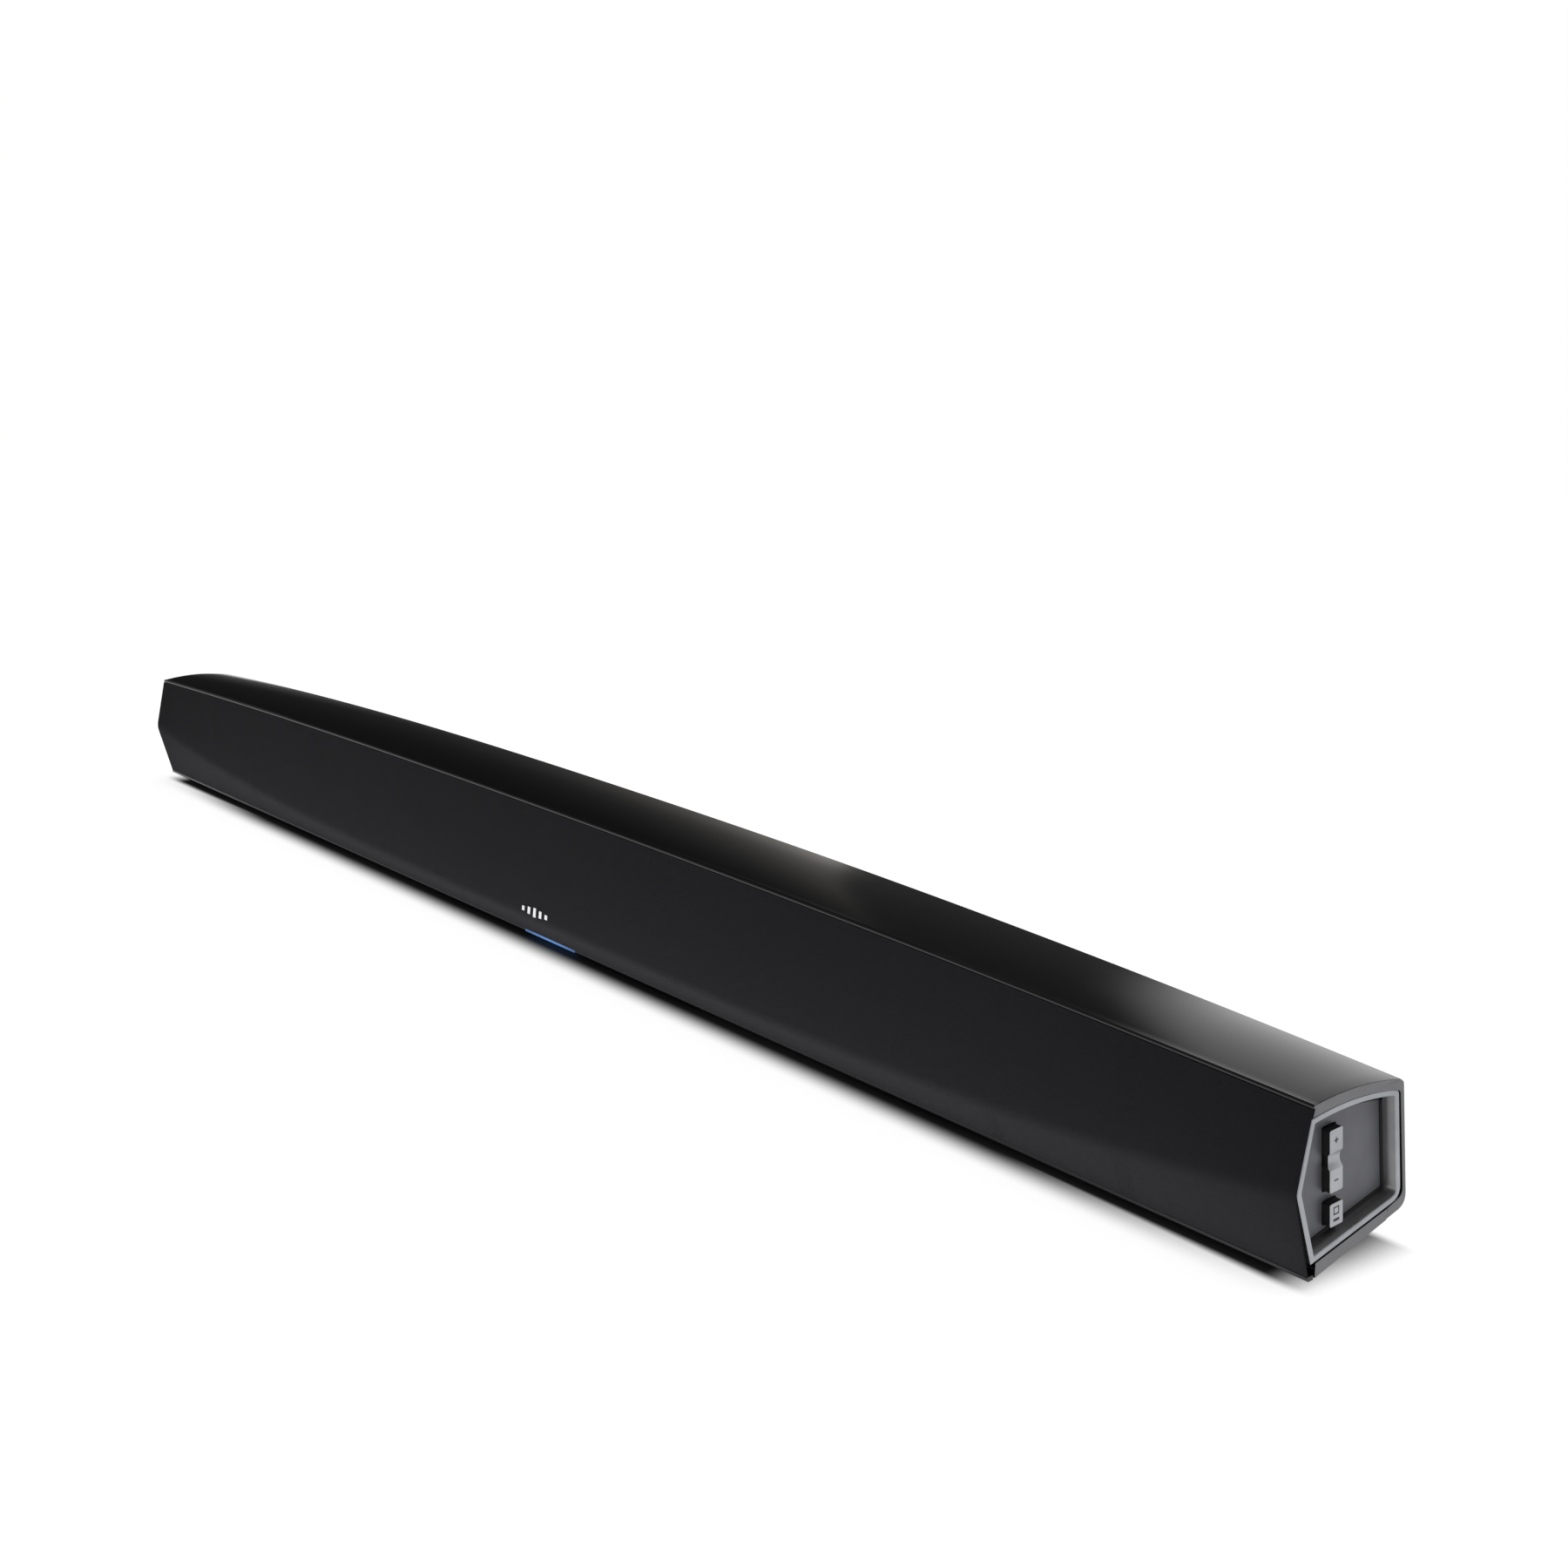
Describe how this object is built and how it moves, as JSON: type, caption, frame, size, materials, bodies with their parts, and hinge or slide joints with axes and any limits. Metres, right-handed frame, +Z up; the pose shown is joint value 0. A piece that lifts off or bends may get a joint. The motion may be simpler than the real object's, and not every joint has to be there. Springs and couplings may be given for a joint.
{
  "type": "soundbar",
  "caption": "Long low soundbar with an arched top, a two-facet cloth front with a status light, and a volume rocker and source button in a silver-trimmed end recess.",
  "frame": {"origin": "on the floor plane under the middle of the bar", "axes": "+X along the bar towards the end with the buttons, front grille faces -Y, +Z up"},
  "size_m": [1, 0.0612, 0.0806],
  "materials": {
    "shell_plastic": "satin black moulded plastic",
    "grille_fabric": "woven black cloth",
    "frame_plastic": "matte",
    "silver_trim": "satin silver paint",
    "grey_panel": "fine grain, dark grey",
    "silver_button": "satin silver",
    "pin_steel": "bare steel",
    "circuit_board": "green solder mask",
    "switch_plastic": "matte",
    "light_diffuser": "lit blue diffuser",
    "receiver_lens": "dark lens",
    "baffle_plastic": "moulded",
    "basket_metal": "black paint on steel",
    "motor_metal": "plated steel and ferrite",
    "cone_paper": "coated paper",
    "surround_rubber": "matte rubber",
    "tweeter_plastic": "matte",
    "dome_fabric": "coated silk",
    "sink_aluminium": "extruded",
    "transformer_wound": "laminations and yellow tape",
    "module_metal": "shield can",
    "socket_plastic": "matte black",
    "socket_metal": "plated shell",
    "foot_rubber": "matte rubber",
    "screw_steel": "black steel",
    "wire_sleeve": "soft sleeve"
  },
  "bodies": {
    "cabinet": {"upper_shell": "shell_plastic", "rear_wall_left": "shell_plastic", "rear_wall_middle": "shell_plastic", "rear_wall_right": "shell_plastic", "screw_posts": "frame_plastic", "base_plate": "shell_plastic", "grille_frame": "frame_plastic", "grille_cloth": "grille_fabric", "bottom_rail": "shell_plastic", "end_trim_left": "silver_trim", "end_trim_right": "silver_trim", "end_panel_left": "grey_panel", "end_panel_right": "grey_panel", "rocker_pin": "pin_steel", "button_bracket": "frame_plastic", "button_board": "circuit_board", "tact_switches": "switch_plastic", "status_light_pipe": "light_diffuser", "light_board": "circuit_board", "remote_receiver": "receiver_lens", "baffles": "baffle_plastic", "chamber_walls": "baffle_plastic", "woofer_basket_1": "basket_metal", "woofer_basket_2": "basket_metal", "woofer_basket_3": "basket_metal", "woofer_basket_4": "basket_metal", "woofer_motor_1": "motor_metal", "woofer_motor_2": "motor_metal", "woofer_motor_3": "motor_metal", "woofer_motor_4": "motor_metal", "woofer_surround_1": "surround_rubber", "woofer_surround_2": "surround_rubber", "woofer_surround_3": "surround_rubber", "woofer_surround_4": "surround_rubber", "tweeter_housings": "tweeter_plastic", "tweeter_domes": "dome_fabric", "main_board": "circuit_board", "heat_sink": "sink_aluminium", "power_board": "circuit_board", "power_transformer": "transformer_wound", "wireless_module": "module_metal", "bay_rim": "shell_plastic", "connector_panel": "shell_plastic", "power_inlet": "socket_plastic", "av_socket_in": "socket_metal", "av_socket_out": "socket_metal", "optical_socket": "socket_plastic", "aux_socket": "socket_plastic", "keyhole_plates": "pin_steel", "front_foot": "foot_rubber", "rear_feet": "foot_rubber", "base_screws": "screw_steel", "driver_screws": "screw_steel", "speaker_wires": "wire_sleeve"},
    "volume_rocker_body": {"volume_rocker": "silver_button"},
    "source_button_body": {"source_button": "silver_button"},
    "woofer_cone_1_body": {"woofer_cone_1": "cone_paper"},
    "woofer_cone_2_body": {"woofer_cone_2": "cone_paper"},
    "woofer_cone_3_body": {"woofer_cone_3": "cone_paper"},
    "woofer_cone_4_body": {"woofer_cone_4": "cone_paper"}
  },
  "joints": [
    {"name": "volume_rock", "type": "hinge", "parent": "cabinet", "child": "volume_rocker_body", "pos_m": [0.4891, -0.0076, 0.0444], "axis": [0, 0.9962, 0.0872], "range_deg": [-2.5, 2.5], "stiffness_Nm_per_rad": 0.4},
    {"name": "source_press", "type": "slide", "parent": "cabinet", "child": "source_button_body", "axis": [-1, 0, 0], "range_m": [0, 0.0004], "stiffness_N_per_m": 3000},
    {"name": "woofer_stroke_1", "type": "slide", "parent": "cabinet", "child": "woofer_cone_1_body", "axis": [0, -0.9925, 0.1219], "range_m": [-0.0015, 0.0015], "stiffness_N_per_m": 1200, "deforming": ["woofer_surround_1"]},
    {"name": "woofer_stroke_2", "type": "slide", "parent": "cabinet", "child": "woofer_cone_2_body", "axis": [0, -0.9925, 0.1219], "range_m": [-0.0015, 0.0015], "stiffness_N_per_m": 1200, "deforming": ["woofer_surround_2"]},
    {"name": "woofer_stroke_3", "type": "slide", "parent": "cabinet", "child": "woofer_cone_3_body", "axis": [0, -0.9925, 0.1219], "range_m": [-0.0015, 0.0015], "stiffness_N_per_m": 1200, "deforming": ["woofer_surround_3"]},
    {"name": "woofer_stroke_4", "type": "slide", "parent": "cabinet", "child": "woofer_cone_4_body", "axis": [0, -0.9925, 0.1219], "range_m": [-0.0015, 0.0015], "stiffness_N_per_m": 1200, "deforming": ["woofer_surround_4"]}
  ]
}
